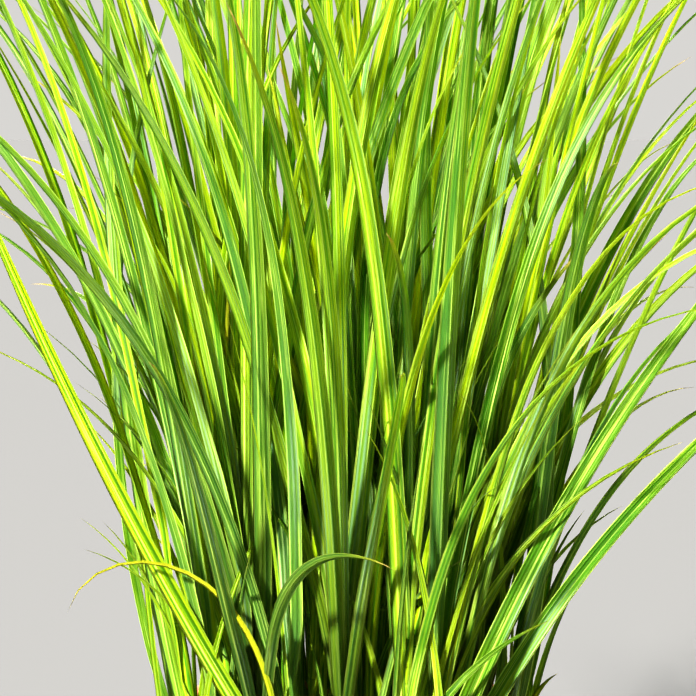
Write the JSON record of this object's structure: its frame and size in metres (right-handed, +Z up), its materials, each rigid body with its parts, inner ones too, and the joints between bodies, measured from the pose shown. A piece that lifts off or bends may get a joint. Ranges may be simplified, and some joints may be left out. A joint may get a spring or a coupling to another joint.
{
  "type": "potted clump of ornamental grass",
  "caption": "Tall clump of Chinese silver grass in a plain round clay pot: upright leafy stems with long, narrow, ribbed blades that arch over at their tips.",
  "frame": {"origin": "middle of the pot's flat underside", "axes": "+Z up along the pot's axis, -Y towards the viewer of the picture, +X to the viewer's right"},
  "size_m": [0.8471, 0.8348, 1.0965],
  "materials": {
    "pot": "matte",
    "soil": "matte",
    "leaf": "satin"
  },
  "bodies": {
    "root": {"pot": "pot", "soil": "soil", "leafy_stem_01": "leaf", "leafy_stem_02": "leaf", "leafy_stem_03": "leaf", "leafy_stem_04": "leaf", "leafy_stem_05": "leaf", "leafy_stem_06": "leaf", "leafy_stem_07": "leaf", "leafy_stem_08": "leaf", "leafy_stem_09": "leaf", "leafy_stem_10": "leaf", "leafy_stem_11": "leaf", "leafy_stem_12": "leaf", "leafy_stem_13": "leaf", "leafy_stem_14": "leaf", "leafy_stem_15": "leaf", "leafy_stem_16": "leaf", "leafy_stem_17": "leaf", "leafy_stem_18": "leaf", "leafy_stem_19": "leaf", "leafy_stem_20": "leaf", "leafy_stem_21": "leaf", "leafy_stem_22": "leaf", "leafy_stem_23": "leaf", "leafy_stem_24": "leaf", "leafy_stem_25": "leaf", "leafy_stem_26": "leaf", "leafy_stem_27": "leaf", "leafy_stem_28": "leaf", "leafy_stem_29": "leaf", "leafy_stem_30": "leaf", "leafy_stem_31": "leaf", "leafy_stem_32": "leaf", "leafy_stem_33": "leaf", "leafy_stem_34": "leaf", "leafy_stem_35": "leaf", "leafy_stem_36": "leaf", "leafy_stem_37": "leaf", "leafy_stem_38": "leaf", "leafy_stem_39": "leaf", "leafy_stem_40": "leaf", "leafy_stem_41": "leaf", "leafy_stem_42": "leaf", "leafy_stem_43": "leaf", "leafy_stem_44": "leaf", "leafy_stem_45": "leaf", "leafy_stem_46": "leaf"}
  },
  "joints": []
}
